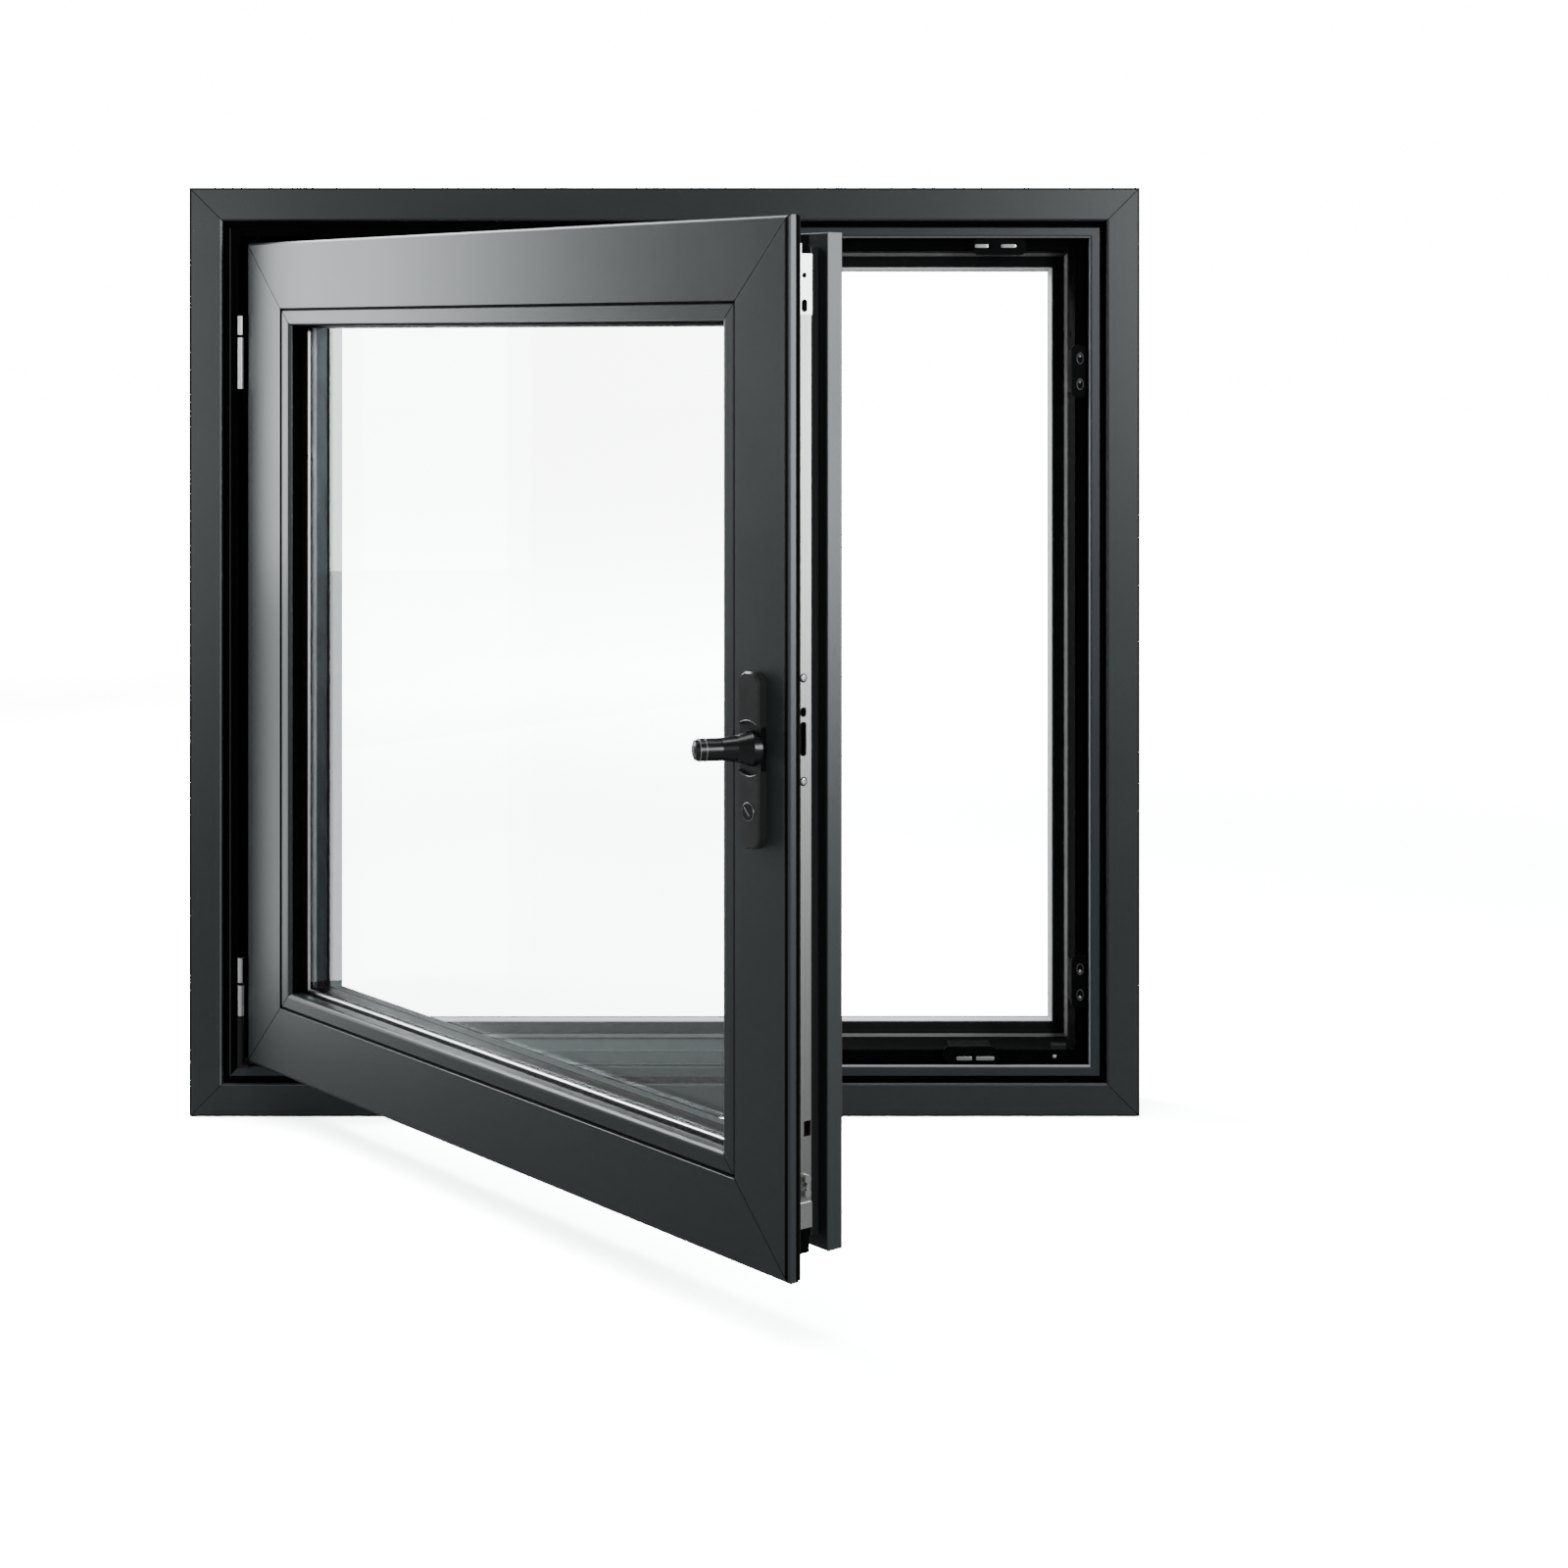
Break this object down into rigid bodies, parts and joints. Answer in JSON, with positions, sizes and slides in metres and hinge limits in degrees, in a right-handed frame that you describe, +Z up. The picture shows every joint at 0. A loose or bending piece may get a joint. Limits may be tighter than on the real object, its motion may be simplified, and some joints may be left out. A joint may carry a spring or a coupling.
{
  "type": "side-hung basement window, open",
  "caption": "Dark grey basement window: square fixed frame with keeps, double-glazed sash swung open on left hinges, short black handle with key cylinder, steel lock edge",
  "frame": {"origin": "middle of the sill's underside, at half the frame's depth; the face that rests in the wall opening", "axes": "+Z up, +X to the right seen from the room, -Y towards the room, into which the sash opens"},
  "size_m": [0.97, 0.7564, 0.948],
  "materials": {
    "frame_colour": "satin dark grey",
    "sash_colour": "satin dark grey",
    "seal": "matt black",
    "glass": "clear, faintly green",
    "spacer": "matt dark grey",
    "steel": "brushed zinc silver",
    "handle_black": "satin black",
    "black_plastic": "matt black",
    "keep_black": "dark zinc"
  },
  "bodies": {
    "root": {"frame_head": "frame_colour", "frame_sill": "frame_colour", "frame_hinge_jamb": "frame_colour", "frame_lock_jamb": "frame_colour", "frame_lip_seal": "seal", "sash_top_rail": "sash_colour", "sash_bottom_rail": "sash_colour", "sash_hinge_stile": "sash_colour", "sash_lock_stile": "sash_colour", "glazing_bead_top": "sash_colour", "glazing_bead_bottom": "sash_colour", "glazing_bead_hinge_side": "sash_colour", "glazing_bead_lock_side": "sash_colour", "glazing_gasket_inner": "seal", "glazing_gasket_outer": "seal", "glass_pane_inner": "glass", "glass_pane_outer": "glass", "glass_spacer": "spacer", "sash_overlap_seal": "seal", "lock_faceplate": "steel", "locking_cams": "steel", "corner_drive_upper": "steel", "corner_drive_lower": "steel", "handle_plate": "handle_black", "handle_lever": "handle_black", "handle_cylinder": "handle_black", "hinge_upper_frame_arm": "steel", "hinge_upper_pin": "steel", "hinge_upper_sash_arm": "steel", "hinge_lower_frame_arm": "steel", "hinge_lower_pin": "steel", "hinge_lower_sash_arm": "steel", "hinge_lower_cover": "black_plastic", "keep_lock_upper": "keep_black", "keep_lock_lower": "keep_black", "keep_head": "keep_black", "keep_sill": "keep_black", "run_up_block": "black_plastic"}
  },
  "joints": []
}
